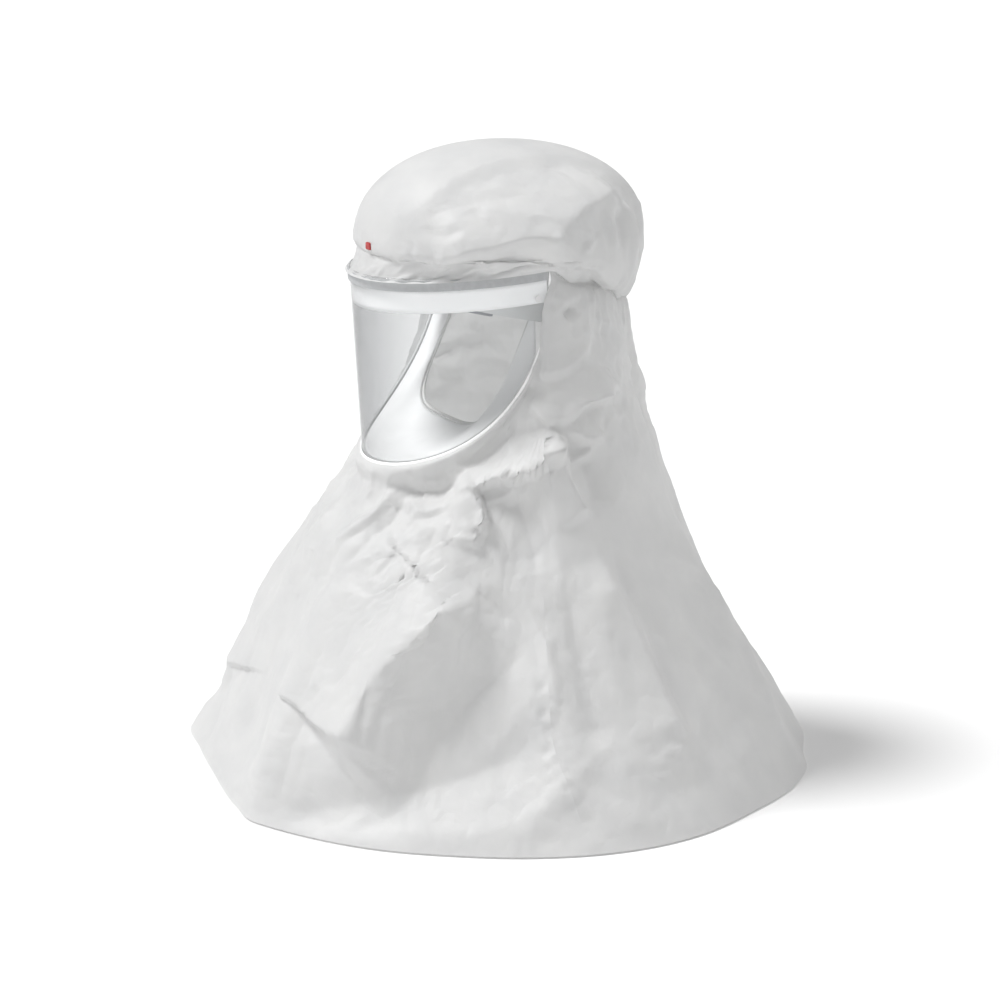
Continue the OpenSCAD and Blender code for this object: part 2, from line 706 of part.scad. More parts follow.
function crescent_outer(g) = arc_points(visor_w - 6 - g, visor_d - 6 - g, -diffuser_reach + g / 2, diffuser_reach - g / 2, 30);
function crescent_inner(g) = [for (p = arc_points(visor_w - diffuser_side + g, band_l + 4.5 + g,
    -diffuser_reach + g / 2, diffuser_reach - g / 2, 30)) p - [0, visor_y]];

module crescent(g, h) {
    linear_extrude(h) polygon(concat(crescent_outer(g), [for (i = [30:-1:0]) crescent_inner(g)[i]]));
}

// Hollow box behind the brow: the duct comes in from above, the air leaves through slots below.
module air_diffuser() {
    slot = [4, 14];
    ear_y = -visor_d + 26;
    color("whitesmoke") difference() {
        union() {
            at_visor([0, 0, diffuser_top - diffuser_h]) crescent(0, diffuser_h);
            for (side = [-1, 1]) at_visor([side * (flap_w / 2 + 3), flap_y, diffuser_top - diffuser_h - 4])
                cube([3, 8, 8.2], center = true);
        }
        at_visor([0, 0, diffuser_top - diffuser_h + duct_wall]) crescent(duct_wall, diffuser_h - 2 * duct_wall);
        for (i = [0:slot_count - 1]) at_visor([(i - (slot_count - 1) / 2) * 9, -visor_d + 34, diffuser_top - diffuser_h])
            cube([slot.x, slot.y, 4], center = true);
        translate(duct_centre) rotate([socket_slope, 0, 0]) translate(-duct_centre) duct_sweep(-0.4, 30);
        at_visor([0, flap_y, flap_z]) rotate([0, 90, 0]) cylinder(r = pin_r, h = flap_w + 20, center = true);
    }
}

module diffuser_foam() {
    color("lightgray") at_visor([0, 0, diffuser_top - diffuser_h + duct_wall + touch]) difference() {
        crescent(duct_wall + 0.4, 3);
        translate([0, -visor_d + 34, 0]) cube([9 * slot_count + 2, 20, 20], center = true);
    }
}

// Deflector: a flap on two pins under the diffuser's slots.
flap_l = 15;
flap_t = 1.6;
pin_r = 1.5;
flap_y = -visor_d + 22;
pin_room = 13.1;        // from the flap's end out to the lens, for a pin and its ear
flap_w = 2 * (visor_w * sqrt(1 - pow(flap_y / visor_d, 2)) - pin_room);
flap_z = diffuser_top - diffuser_h - 4.5;

module air_deflector() {
    color("whitesmoke") at_visor([0, flap_y, flap_z]) difference() {
        union() {
            rotate([0, 90, 0]) cylinder(r = 2.6, h = flap_w, center = true);
            translate([0, flap_l / 2 + 1, 0]) cube([flap_w, flap_l, flap_t], center = true);
        }
        rotate([0, 90, 0]) cylinder(r = pin_r + run_gap, h = flap_w + 2, center = true);
    }
}

module deflector_pins() {
    color("silver") at_visor([0, flap_y, flap_z]) for (side = [-1, 1])
        translate([side * (flap_w / 2 + 0.5), 0, 0]) rotate([0, 90, 0]) cylinder(r = pin_r, h = 11, center = true);
}

hood_crown();
cape_front();
cape_back();
nape_elastic();
label_patch();
visor_lens();
visor_brow_band();
visor_brow_seal();
visor_edge_trim();
visor_rivets();
face_seal();
face_seal_elastic();
headband();
sweatband();
band_guides();
bracket_left();
bracket_right();
rear_cradle();
nape_pad();
dial_cover();
cover_screws();
dial_pinion();
dial_knob();
rack_left();
rack_right();
crown_strap_front();
crown_strap_rear();
crown_strap_centre();
strap_rivets();
crown_pad();
hose_socket();
clamp_ring();
inlet_elbow();
air_duct();
air_diffuser();
diffuser_foam();
air_deflector();
deflector_pins();
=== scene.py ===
import math
import bmesh
import bpy
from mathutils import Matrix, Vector, noise
from mathutils.kdtree import KDTree


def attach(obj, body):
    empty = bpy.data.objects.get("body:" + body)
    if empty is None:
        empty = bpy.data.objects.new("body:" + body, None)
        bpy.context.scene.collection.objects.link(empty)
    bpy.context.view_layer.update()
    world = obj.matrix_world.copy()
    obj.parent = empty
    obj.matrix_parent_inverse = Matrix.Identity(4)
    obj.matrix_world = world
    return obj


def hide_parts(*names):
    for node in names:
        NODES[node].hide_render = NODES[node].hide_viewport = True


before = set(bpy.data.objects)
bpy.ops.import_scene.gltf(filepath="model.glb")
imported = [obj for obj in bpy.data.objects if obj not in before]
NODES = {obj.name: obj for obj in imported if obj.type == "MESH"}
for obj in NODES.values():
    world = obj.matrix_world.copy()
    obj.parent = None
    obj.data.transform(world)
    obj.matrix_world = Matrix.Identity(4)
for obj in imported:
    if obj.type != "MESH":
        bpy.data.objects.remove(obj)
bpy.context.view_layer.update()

# Every length below is in millimetres until a mesh is made.
MM = 0.001
ROOT = "hood"


# ---------------------------------------------------------------- shape functions

def lerp(a, b, k):
    return a + (b - a) * k


def mix(a, b, k):
    return tuple(lerp(x, y, k) for x, y in zip(a, b))


def smooth(k):
    k = max(0.0, min(1.0, k))
    return k * k * (3 - 2 * k)


def sind(a):
    return math.sin(math.radians(a))


def cosd(a):
    return math.cos(math.radians(a))


def signed_power(v, p):
    return math.copysign(abs(v) ** p, v)


VISOR_W, VISOR_D, VISOR_H = 105, 148, 187
VISOR_Y, VISOR_Z, VISOR_LEAN = -6, 514, 3.6
LENS_T, BROW_T, BROW_DROP, BROW_H = 1.0, 1.8, 12, 22
LENS_POWER = 2.2
SEAM_ANGLE = 77
FABRIC_T = 1.6
NAPE_Z, NAPE_DEPTH = 468, 116
HEM_R = 315


def from_visor(p):
    x, y, z = p
    c, s = cosd(VISOR_LEAN), sind(VISOR_LEAN)
    return (x, VISOR_Y + y * c - z * s, VISOR_Z + y * s + z * c)


def visor_plan(t, g):
    return (VISOR_W + g) * sind(t), -(VISOR_D + g) * cosd(t)


def lens_depth(t):
    run = abs(t) / 90 - 0.054 * sind(2 * abs(t))
    return VISOR_H * max(0.0, 1 - run ** LENS_POWER) ** (1 / LENS_POWER)


def on_visor(t, g, depth):
    x, y = visor_plan(t, g)
    return from_visor((x, y, -depth))


def nape_point(a, g):
    s = (abs(a) - SEAM_ANGLE) / (180 - SEAM_ANGLE)
    t = 90 + 90 * s
    corner = lerp(VISOR_Z - 3, VISOR_Z - 16, smooth(s / 0.14))
    return (math.copysign(VISOR_W + g, a) * sind(t), VISOR_Y - (NAPE_DEPTH + g) * cosd(t),
            lerp(corner, NAPE_Z, smooth(s)))


# Hem radius by direction: an irregular, softly cornered round, as cut cloth stands.
HEM = [(-180, 308), (-150, 318), (-120, 312), (-95, 316), (-70, 309), (-40, 323), (-27, 304), (-12, 297),
       (4, 309), (12, 321), (17, 319), (26, 315), (38, 312), (52, 309), (67, 313), (77, 317), (87, 319),
       (97, 318), (112, 312), (125, 316), (136, 317), (145, 310), (160, 317)]


def periodic(table, a):
    n = len(table)
    a = (a + 180) % 360 - 180
    i = max(j for j in range(n) if table[j][0] <= a)
    get = lambda j: (table[j % n][0] + 360 * (j // n), table[j % n][1])
    (x0, y0), (x1, y1), (x2, y2), (x3, y3) = get(i - 1), get(i), get(i + 1), get(i + 2)
    k = (a - x1) / (x2 - x1)
    m1, m2 = (y2 - y0) / (x2 - x0) * (x2 - x1), (y3 - y1) / (x3 - x1) * (x2 - x1)
    return ((2 * k ** 3 - 3 * k ** 2 + 1) * y1 + (k ** 3 - 2 * k ** 2 + k) * m1
            + (3 * k ** 2 - 2 * k ** 3) * y2 + (k ** 3 - k ** 2) * m2)


def rim_place(a):
    """Direction, stand-off and depth on the visor's edge where the cape's column a ends."""
    turn, upright = 61.6, 78.5
    if abs(a) <= turn:
        t = a / turn * upright
        return t, 1.5, lens_depth(t) - 1.0
    depth = lerp(lens_depth(upright), 4, (abs(a) - turn) / (SEAM_ANGLE - turn))
    run = (1 - (depth / VISOR_H) ** LENS_POWER) ** (1 / LENS_POWER)
    t = 90 * run
    for _ in range(6):
        t = 90 * (run + 0.054 * sind(2 * t))
    return math.copysign(t, a), 1.5, depth - 1.0


def cape_top(a):
    if abs(a) <= SEAM_ANGLE:
        return on_visor(*rim_place(a))
    k = smooth((abs(a) - SEAM_ANGLE) / 30)
    x, y, z = nape_point(a, lerp(5, 14, smooth((abs(a) - 145) / 18)) * k)
    return x, y, z - 16 * k


def cape_hem(a):
    r = periodic(HEM, a)
    return r * sind(a), -r * cosd(a), 1.0


def cape_waist(a):
    top, hem = cape_top(a), cape_hem(a)
    k = smooth((abs(a) - 10) / 55)
    waist = 137
    return mix(mix(top, hem, 0.5), (waist * sind(a), -waist * cosd(a) + 8, 280), k)


def bezier(p, q, r, k):
    return tuple((1 - k) ** 2 * a + 2 * k * (1 - k) * b + k * k * c for a, b, c in zip(p, q, r))


def cape_point(a, k):
    """k runs from 0 at the hem to 1 at the visor's edge or the nape seam."""
    a = (a + 180) % 360 - 180
    gather = 0.94
    if abs(a) <= SEAM_ANGLE or k <= gather:
        k = k if abs(a) <= SEAM_ANGLE else lerp(k, k / gather, smooth((abs(a) - SEAM_ANGLE) / 25))
        return bezier(cape_hem(a), cape_waist(a), cape_top(a), min(k, 1.0))
    s = (k - gather) / (1 - gather)
    low = bezier(cape_hem(a), cape_waist(a), cape_top(a), min(1.0, lerp(k, 1.0, smooth((abs(a) - SEAM_ANGLE) / 25))))
    return mix(low, nape_point(a, 0), s)


# ---------------------------------------------------------------- mesh helpers

def new_object(name, verts, faces, material, smooth_shade=True):
    mesh = bpy.data.meshes.new(name)
    mesh.from_pydata([tuple(c * MM for c in v) for v in verts], [], faces)
    mesh.update()
    obj = bpy.data.objects.new(name, mesh)
    bpy.context.scene.collection.objects.link(obj)
    mesh.materials.append(material)
    if smooth_shade:
        mesh.polygons.foreach_set("use_smooth", [True] * len(mesh.polygons))
    return obj


def grid_faces(nu, nv, closed):
    last = nu if closed else nu - 1
    return [(i * nv + j, ((i + 1) % nu) * nv + j, ((i + 1) % nu) * nv + j + 1, i * nv + j + 1)
            for i in range(last) for j in range(nv - 1)]


def grid_object(name, fn, us, vs, material, closed=False):
    verts = [fn(u, v) for u in us for v in vs]
    return new_object(name, verts, grid_faces(len(us), len(vs), closed), material)


def steps(a, b, n):
    return [lerp(a, b, i / (n - 1)) for i in range(n)]


def thicken(obj, mm, offset=-1.0):
    mod = obj.modifiers.new("thickness", "SOLIDIFY")
    mod.thickness = mm * MM
    mod.offset = offset
    mod.use_quality_normals = True
    return obj


def rounded(obj, mm):
    edge = obj.modifiers.new("edge", "BEVEL")
    edge.width = mm * MM
    edge.segments = 2
    edge.limit_method = "ANGLE"


def place(obj, body, slot_name, *replaced):
    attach(obj, body)
    if replaced:
        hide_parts(*replaced)
    return obj


# ---------------------------------------------------------------- materials

def material(name, color, roughness, **sockets):
    m = bpy.data.materials.new(name)
    m.use_nodes = True
    node = m.node_tree.nodes["Principled BSDF"]
    node.inputs["Base Color"].default_value = (*color, 1)
    node.inputs["Roughness"].default_value = roughness
    for key, value in sockets.items():
        node.inputs[key.replace("_", " ")].default_value = value
    return m


def add(m, kind, **values):
    node = m.node_tree.nodes.new(kind)
    for key, value in values.items():
        if key in node.inputs:
            node.inputs[key].default_value = value
        else:
            setattr(node, key, value)
    return node


def link(m, a, b):
    m.node_tree.links.new(a, b)


def object_coords(m, scale=(1, 1, 1)):
    coords = add(m, "ShaderNodeTexCoord")
    mapping = add(m, "ShaderNodeMapping")
    mapping.inputs["Scale"].default_value = scale
    link(m, coords.outputs["Object"], mapping.inputs["Vector"])
    return mapping.outputs["Vector"]


def bump_chain(m, layers):
    """layers: (height socket, strength, distance in metres). Ends in the shader's normal."""
    normal = None
    for height, strength, distance in layers:
        bump = add(m, "ShaderNodeBump")
        bump.inputs["Strength"].default_value = strength
        bump.inputs["Distance"].default_value = distance
        link(m, height, bump.inputs["Height"])
        if normal:
            link(m, normal, bump.inputs["Normal"])
        normal = bump.outputs["Normal"]
    link(m, normal, m.node_tree.nodes["Principled BSDF"].inputs["Normal"])


def mottle(m, color_a, color_b, vector, scale, detail=3.0):
    tex = add(m, "ShaderNodeTexNoise")
    tex.inputs["Scale"].default_value = scale
    tex.inputs["Detail"].default_value = detail
    link(m, vector, tex.inputs["Vector"])
    ramp = add(m, "ShaderNodeValToRGB")
    ramp.color_ramp.elements[0].position = 0.3
    ramp.color_ramp.elements[0].color = (*color_a, 1)
    ramp.color_ramp.elements[1].position = 0.7
    ramp.color_ramp.elements[1].color = (*color_b, 1)
    link(m, tex.outputs["Fac"], ramp.inputs["Fac"])
    link(m, ramp.outputs["Color"], m.node_tree.nodes["Principled BSDF"].inputs["Base Color"])
    return tex


def nonwoven_material():
    """Crisp film-faced non-woven: short fibres, small crumples, a little light through it."""
    m = material("nonwoven", (0.74, 0.74, 0.74), 0.5, Specular_IOR_Level=0.35)
    vector = object_coords(m)
    mottle(m, (0.68, 0.682, 0.685), (0.745, 0.745, 0.742), vector, 26, 5)
    # The inner face is coloured much lighter than the outer face: painted light on the hood's inside, which lies in
    # shade.
    shader = m.node_tree.nodes["Principled BSDF"]
    face = add(m, "ShaderNodeNewGeometry")
    sides = add(m, "ShaderNodeMix", data_type="RGBA")
    outer = shader.inputs["Base Color"].links[0].from_socket
    link(m, face.outputs["Backfacing"], sides.inputs["Factor"])
    link(m, outer, sides.inputs[6])
    sides.inputs[7].default_value = (0.95, 0.95, 0.945, 1)
    link(m, sides.outputs[2], shader.inputs["Base Color"])
    fibre = add(m, "ShaderNodeTexNoise")
    fibre.inputs["Scale"].default_value = 520
    fibre.inputs["Detail"].default_value = 4
    fibre.inputs["Distortion"].default_value = 1.2
    link(m, vector, fibre.inputs["Vector"])
    crumple = add(m, "ShaderNodeTexVoronoi", feature="DISTANCE_TO_EDGE")
    crumple.inputs["Scale"].default_value = 48
    warp = add(m, "ShaderNodeTexNoise")
    warp.inputs["Scale"].default_value = 30
    link(m, vector, warp.inputs["Vector"])
    shift = add(m, "ShaderNodeVectorMath", operation="MULTIPLY_ADD")
    shift.inputs[1].default_value = (0.02, 0.02, 0.02)
    link(m, warp.outputs["Color"], shift.inputs[0])
    link(m, vector, shift.inputs[2])
    link(m, shift.outputs["Vector"], crumple.inputs["Vector"])
    bump_chain(m, [(crumple.outputs["Distance"], 0.22, 0.004), (fibre.outputs["Fac"], 0.18, 0.0006)])
    tree = m.node_tree
    out = tree.nodes["Material Output"]
    thin = add(m, "ShaderNodeBsdfTranslucent")
    thin.inputs["Color"].default_value = (0.92, 0.92, 0.915, 1)
    mixer = add(m, "ShaderNodeMixShader")
    mixer.inputs["Fac"].default_value = 0.3
    link(m, tree.nodes["Principled BSDF"].outputs["BSDF"], mixer.inputs[1])
    link(m, thin.outputs["BSDF"], mixer.inputs[2])
    link(m, mixer.outputs["Shader"], out.inputs["Surface"])
    return m


def lens_material():
    m = material("clear_lens", (0.33, 0.335, 0.34), 0.06, Specular_IOR_Level=0.5)
    tree = m.node_tree
    clear = add(m, "ShaderNodeBsdfTransparent")
    clear.inputs["Color"].default_value = (0.962, 0.965, 0.967, 1)
    angle = add(m, "ShaderNodeLayerWeight")
    angle.inputs["Blend"].default_value = 0.2
    mixer = add(m, "ShaderNodeMixShader")
    link(m, angle.outputs["Facing"], mixer.inputs["Fac"])
    link(m, clear.outputs["BSDF"], mixer.inputs[1])
    link(m, tree.nodes["Principled BSDF"].outputs["BSDF"], mixer.inputs[2])
    link(m, mixer.outputs["Shader"], tree.nodes["Material Output"].inputs["Surface"])
    return m


def plastic_material(name, color, roughness, grain=0.12, scale=900, **sockets):
    m = material(name, color, roughness, **sockets)
    vector = object_coords(m)
    tint = tuple(c * 0.94 for c in color)
    mottle(m, tint, color, vector, 40, 2)
    fine = add(m, "ShaderNodeTexNoise")
    fine.inputs["Scale"].default_value = scale
    fine.inputs["Detail"].default_value = 2
    link(m, vector, fine.inputs["Vector"])
    bump_chain(m, [(fine.outputs["Fac"], grain, 0.0003)])
    return m


def knit_material(name, color, scale, strength=0.35, rough=0.85, **sockets):
    m = material(name, color, rough, Sheen_Weight=0.25, **sockets)
    vector = object_coords(m)
    mottle(m, tuple(c * 0.95 for c in color), color, vector, 60, 3)
    wave_a = add(m, "ShaderNodeTexWave", bands_direction="X", Scale=scale)
    wave_b = add(m, "ShaderNodeTexWave", bands_direction="Z", Scale=scale)
    for wave in (wave_a, wave_b):
        wave.inputs["Distortion"].default_value = 1.5
        link(m, vector, wave.inputs["Vector"])
    both = add(m, "ShaderNodeMath", operation="MULTIPLY")
    link(m, wave_a.outputs["Fac"], both.inputs[0])
    link(m, wave_b.outputs["Fac"], both.inputs[1])
    bump_chain(m, [(both.outputs["Value"], strength, 0.0005)])
    return m


def foam_material(name, color):
    m = material(name, color, 0.8)
    vector = object_coords(m)
    mottle(m, tuple(c * 0.9 for c in color), color, vector, 200, 3)
    cells = add(m, "ShaderNodeTexVoronoi")
    cells.inputs["Scale"].default_value = 900
    link(m, vector, cells.inputs["Vector"])
    bump_chain(m, [(cells.outputs["Distance"], 0.4, 0.0006)])
    return m


NONWOVEN = nonwoven_material()
LENS = lens_material()
# White film, piping and seal knit get some emission, so they glow brighter than the lamps light them: painted light.
WHITE_FILM = plastic_material("white_film", (0.93, 0.935, 0.935), 0.35, 0.08, Emission_Strength=0.3)
# The piping's emission is painted light.
PIPING = knit_material("piping", (0.95, 0.955, 0.955), 700, 0.25, Emission_Strength=0.2)
ELASTIC = knit_material("elastic", (0.8, 0.8, 0.79), 600)
# The seal knit's faint emission is painted light.
SEAL_KNIT = knit_material("seal_knit", (0.9, 0.905, 0.905), 900, 0.2, Emission_Strength=0.04)
# Grey foam: the diffuser foam's colour, and on the brow seal painted shade for the shaded gap under the bonnet's edge.
FOAM_GREY_AND_PAINTED_SHADE = foam_material("grey_foam", (0.5, 0.51, 0.52))
PAD_FOAM = foam_material("pad_foam", (0.45, 0.46, 0.48))
WHITE_PLASTIC = plastic_material("white_plastic", (0.86, 0.86, 0.86), 0.3)
SUSPENSION = plastic_material("suspension_plastic", (0.86, 0.87, 0.87), 0.4)
STRAP = plastic_material("strap_plastic", (0.84, 0.85, 0.85), 0.45)
DARK = plastic_material("dark_plastic", (0.06, 0.065, 0.07), 0.45, 0.3)
GREY = plastic_material("grey_plastic", (0.28, 0.29, 0.3), 0.42, 0.25)
DUCT = plastic_material("duct_plastic", (0.8, 0.81, 0.82), 0.38)
STEEL = material("steel", (0.6, 0.6, 0.61), 0.32, Metallic=1.0)
TAB_RED = knit_material("tab_red", (0.5, 0.02, 0.018), 900, 0.5)

NODE_MATERIALS = {
    "visor_rivets": WHITE_PLASTIC, "headband": SUSPENSION, "band_guides": SUSPENSION,
    "bracket_left": SUSPENSION, "bracket_right": SUSPENSION, "rear_cradle": SUSPENSION,
    "dial_cover": SUSPENSION, "cover_screws": STEEL, "dial_pinion": DARK, "dial_knob": DARK,
    "rack_left": SUSPENSION, "rack_right": SUSPENSION, "crown_strap_front": STRAP,
    "crown_strap_rear": STRAP, "crown_strap_centre": STRAP, "strap_rivets": WHITE_PLASTIC,
    "hose_socket": GREY, "clamp_ring": DARK, "inlet_elbow": GREY, "air_duct": DUCT,
    "air_diffuser": DUCT, "diffuser_foam": FOAM_GREY_AND_PAINTED_SHADE, "air_deflector": WHITE_PLASTIC,
    "deflector_pins": STEEL, "visor_brow_band": WHITE_FILM, "visor_brow_seal": FOAM_GREY_AND_PAINTED_SHADE,
    "visor_edge_trim": PIPING, "face_seal_elastic": ELASTIC, "label_patch": TAB_RED,
    "nape_elastic": ELASTIC, "sweatband": PAD_FOAM, "nape_pad": PAD_FOAM, "crown_pad": PAD_FOAM,
}
for node_name, node_material in NODE_MATERIALS.items():
    slots = NODES[node_name].data.materials
    if len(slots) == 0:
        slots.append(node_material)
    for i in range(len(slots)):
        slots[i] = node_material


# ---------------------------------------------------------------- camera, light and floor

def add_camera():
    azimuth, pitch, distance = 60, 15.5, 3.1
    target = Vector((0, 0, 0.258))
    back = Vector((sind(azimuth) * cosd(pitch), -cosd(azimuth) * cosd(pitch), sind(pitch)))
    data = bpy.data.cameras.new("camera")
    data.sensor_width = 36
    data.lens = 36 * distance
    data.shift_x = 0.0015
    data.clip_end = 50
    obj = bpy.data.objects.new("camera", data)
    obj.location = target + back * distance
    obj.rotation_euler = back.to_track_quat("Z", "Y").to_euler()
    bpy.context.scene.collection.objects.link(obj)
    bpy.context.scene.camera = obj


def sun(name, direction, strength, angle):
    """direction points from the object to the light."""
    data = bpy.data.lights.new(name, "SUN")
    data.energy = strength
    data.angle = math.radians(angle)
    obj = bpy.data.objects.new(name, data)
    obj.location = Vector(direction) * 4
    obj.rotation_euler = Vector(direction).to_track_quat("Z", "Y").to_euler()
    bpy.context.scene.collection.objects.link(obj)


def add_studio():
    world = bpy.data.worlds.new("studio")
    world.use_nodes = True
    world.node_tree.nodes["Background"].inputs["Color"].default_value = (1, 1, 1, 1)
    world.node_tree.nodes["Background"].inputs["Strength"].default_value = 0.24
    bpy.context.scene.world = world
    floor = material("studio_floor", (0.85, 0.85, 0.85), 0.9)
    ring = 96
    verts, faces = [(0, 0, -1)], []
    profile = [(1000, -1), (3200, -1), (9000, -1), (14000, -1), (26000, -1)]
    for r, z in profile:
        verts += [(r * cosd(360 * i / ring), r * sind(360 * i / ring), z) for i in range(ring)]
    faces += [(0, 1 + i, 1 + (i + 1) % ring) for i in range(ring)]
    for k in range(len(profile) - 1):
        for i in range(ring):
            a, b = 1 + k * ring + i, 1 + k * ring + (i + 1) % ring
            faces.append((a, a + ring, b + ring, b))
    obj = new_object("studio_floor", verts, faces, floor)
    sun("key", (-0.35, -0.55, 1.10), 2.9, 18)
    sun("top_fill", (0.25, 0.80, 1.05), 1.1, 50)
    sun("front_fill", (0.25, -1.00, 0.30), 0.5, 40)
    view = bpy.context.scene.view_settings
    view.view_transform = "Standard"
    view.look = "None"


add_camera()
add_studio()


# ---------------------------------------------------------------- cape

# A fold is a line of points, then how far it reaches to each side of the line and its height; a negative
# height is a valley. A point is x, y and z, or the direction from the front in degrees and the share of the
# way up from the hem. The first reach is to the left of a line that runs down and below one that runs to
# the right, seen from outside.
SIDE_FOLDS = [
    ([(41, -146, 299), (38, -160, 279), (29, -176, 254), (21, -186, 237)], 14, 8, 8),
    ([(57, -141, 294), (55, -154, 275), (51, -166, 258)], 10, 10, -5),
    ([(43, -142, 305), (65, -130, 303), (83, -115, 304), (91, -97, 316)], 14, 10, -8),
    ([(59, -139, 295), (75, -135, 284), (83, -128, 284), (95, -111, 291)], 8, 10, 7),
    ([(92, -92, 322), (102, -92, 305), (114, -88, 288), (122, -89, 275), (126, -94, 263)], 26, 8, 14),
    ([(108, -115, 266), (116, -110, 260), (124, -100, 259), (126, -94, 263)], 8, 26, 7),
    ([(102, -91, 306), (109, -77, 311), (117, -62, 316), (123, -55, 315)], 8, 20, 14),
    ([(117, -62, 316), (127, -49, 315), (134, -37, 319), (139, -26, 329), (143, -19, 345), (140, -10, 356)], 9, 30, 17),
    ([(105, -56, 350), (113, -41, 358), (123, -26, 362), (137, -16, 365)], 10, 10, -8),
    ([(110, -31, 383), (121, -21, 378), (134, -11, 374)], 9, 12, 9),
    ([(134, -11, 374), (132, 8, 381), (130, 26, 386), (125, 48, 389)], 9, 30, 18),
    ([(110, -17, 418), (123, -3, 416), (120, 15, 428), (117, 27, 439), (112, 34, 465)], 12, 20, 9),
    ([(120, 24, 430), (122, 38, 411), (121, 53, 399)], 14, 9, 6),
    ([(112, 5, 466), (111, 18, 474)], 9, 9, -10),
    ([(138, -5, 363), (141, 7, 352), (142, 19, 350), (140, 32, 352)], 9, 22, 14),
    ([(148, -7, 332), (148, 5, 333), (146, 18, 337)], 7, 10, 6),
    ([(142, -16, 348), (153, -17, 317), (161, -9, 297), (168, -1, 280)], 40, 10, 12),
    ([(127, -57, 304), (140, -55, 284), (153, -53, 263), (171, -53, 233)], 35, 20, -10),
    ([(147, 7, 336), (155, 15, 314), (165, 12, 287)], 30, 30, -11),
    ([(82, -155, 245), (81, -166, 229), (81, -172, 221)], 9, 9, -5),
    ([(127, 50, 378), (115, 79, 372)], 12, 12, -7),
    ([(135, 36, 365), (141, 33, 347)], 8, 14, -6),
    ([(146, -107, 217), (145, -125, 199), (139, -145, 184), (134, -168, 163), (131, -188, 142), (129, -208, 117), (132, -225, 90), (133, -236, 75), (128, -246, 64)], 110, 70, 44),
    ([(157, -88, 220), (172, -109, 177), (177, -143, 134), (162, -196, 95)], 60, 60, -11),
    ([(91, -297, 15), (123, -277, 23), (154, -251, 33), (179, -220, 47), (205, -180, 60), (228, -130, 78), (238, -86, 99)], 60, 60, -14),
    ([(36, -198, 214), (42, -217, 179), (42, -245, 127), (51, -269, 84), (68, -296, 32), (71, -309, 9)], 60, 45, 9),
    ([(180, -70, 202), (200, -63, 175), (214, -65, 152), (230, -69, 123)], 12, 6, 4),
    ([(184, 3, 243), (197, 7, 215), (210, 19, 187), (225, 28, 156), (242, 36, 123), (259, 41, 92), (267, 45, 77)], 50, 20, 15),
    ([(194, 50, 208), (200, 82, 174), (208, 117, 130), (213, 157, 88), (212, 209, 32)], 25, 40, 8),
    ([(187, -33, 229), (210, -37, 182), (245, -38, 116), (264, -37, 84)], 25, 30, -8),
    ([(273, 19, 74), (274, 33, 69), (269, 45, 73)], 8, 14, 4),
    ([(145, 146, 201), (167, 174, 130), (200, 195, 63)], 50, 25, 10),
    ([(69, -239, 125), (89, -231, 122), (107, -226, 114)], 9, 9, 3),
    ([(72, -233, 133), (95, -223, 130)], 8, 8, 2.5),
]
BACK_FOLDS = [
    ([(-8, .85), (-14, .6), (-18, .35), (-20, .1)], 60, 60, 10),
    ([(-112, .62), (-118, .4), (-121, .2)], 55, 55, -11),
    ([(-140, .82), (-138, .5), (-142, .2)], 60, 40, 13),
    ([(-158, .8), (-160, .5), (-161, .25)], 45, 45, -10),
    ([(178, .84), (176, .55), (179, .2)], 55, 45, 13),
    ([(152, .8), (155, .5), (158, .22)], 50, 50, -11),
    ([(118, .86), (132, .78), (146, .82)], 12, 24, 4),
    ([(-128, .86), (-142, .77), (-160, .8)], 12, 24, 5),
    ([(150, .72), (166, .69), (182, .72)], 9, 24, 2.5),
]


def mirrored(folds):
    """The folds on the other side of the hood, a little askew and lower, so that the sides aren't twins."""
    return [([(-x, y + 6, z + 5) for x, y, z in line], right, left, 0.45 * height)
            for line, left, right, height in folds]


CAPE_FOLDS = SIDE_FOLDS + BACK_FOLDS + mirrored(SIDE_FOLDS)


def sampled(points, surface, n=36):
    """n points of the surface, spread along a line."""
    out = []
    for i in range(n):
        x = (len(points) - 1) * i / (n - 1)
        j = min(int(x), len(points) - 2)
        p = mix(points[j], points[j + 1], x - j)
        out.append(Vector(p if len(p) == 3 else surface(*p)))
    return out


def closest(v, line, j):
    """Distance to the stretch of the line after point j, the place along the line, and the nearest point."""
    way = line[j + 1] - line[j]
    share = max(0.0, min(1.0, (v - line[j]).dot(way) / max(1e-9, way.length_squared)))
    p = line[j] + way * share
    return (v - p).length, j + share, p


def fold_field(folds, surface):
    """A function of a point and its normal that gives the folds' height there."""
    trees = []
    for points, left, right, height in folds:
        line = sampled(points, surface)
        tree = KDTree(len(line))
        for i, p in enumerate(line):
            tree.insert(p, i)
        tree.balance()
        trees.append((tree, line, left, right, height))

    def field(v, normal):
        total = 0.0
        for tree, line, left, right, height in trees:
            _, i, d = tree.find(v)
            if d < max(left, right):
                last = len(line) - 1
                d, along, p = min((closest(v, line, j) for j in (i - 1, i) if 0 <= j < last), key=lambda c: c[0])
                way = line[min(last, i + 1)] - line[max(0, i - 1)]
                side = way.cross(v - p).dot(normal)
                turn = max(-1.0, min(1.0, side / (way.length * max(d, 1.0)) * 1.6))
                width = lerp(left, right, 0.5 + 0.5 * turn)
                end = min(1.0, 0.3 + along / last / 0.25, 0.3 + (1 - along / last) / 0.25)
                total += height * max(0.0, 1 - d / width) ** 1.1 * end
        return total
    return field


def vertex_normals(verts, faces):
    normals = [Vector((0, 0, 0)) for _ in verts]
    for f in faces:
        n = (verts[f[2]] - verts[f[0]]).cross(verts[f[3]] - verts[f[1]])
        for i in f:
            normals[i] += n
    return [n.normalized() for n in normals]


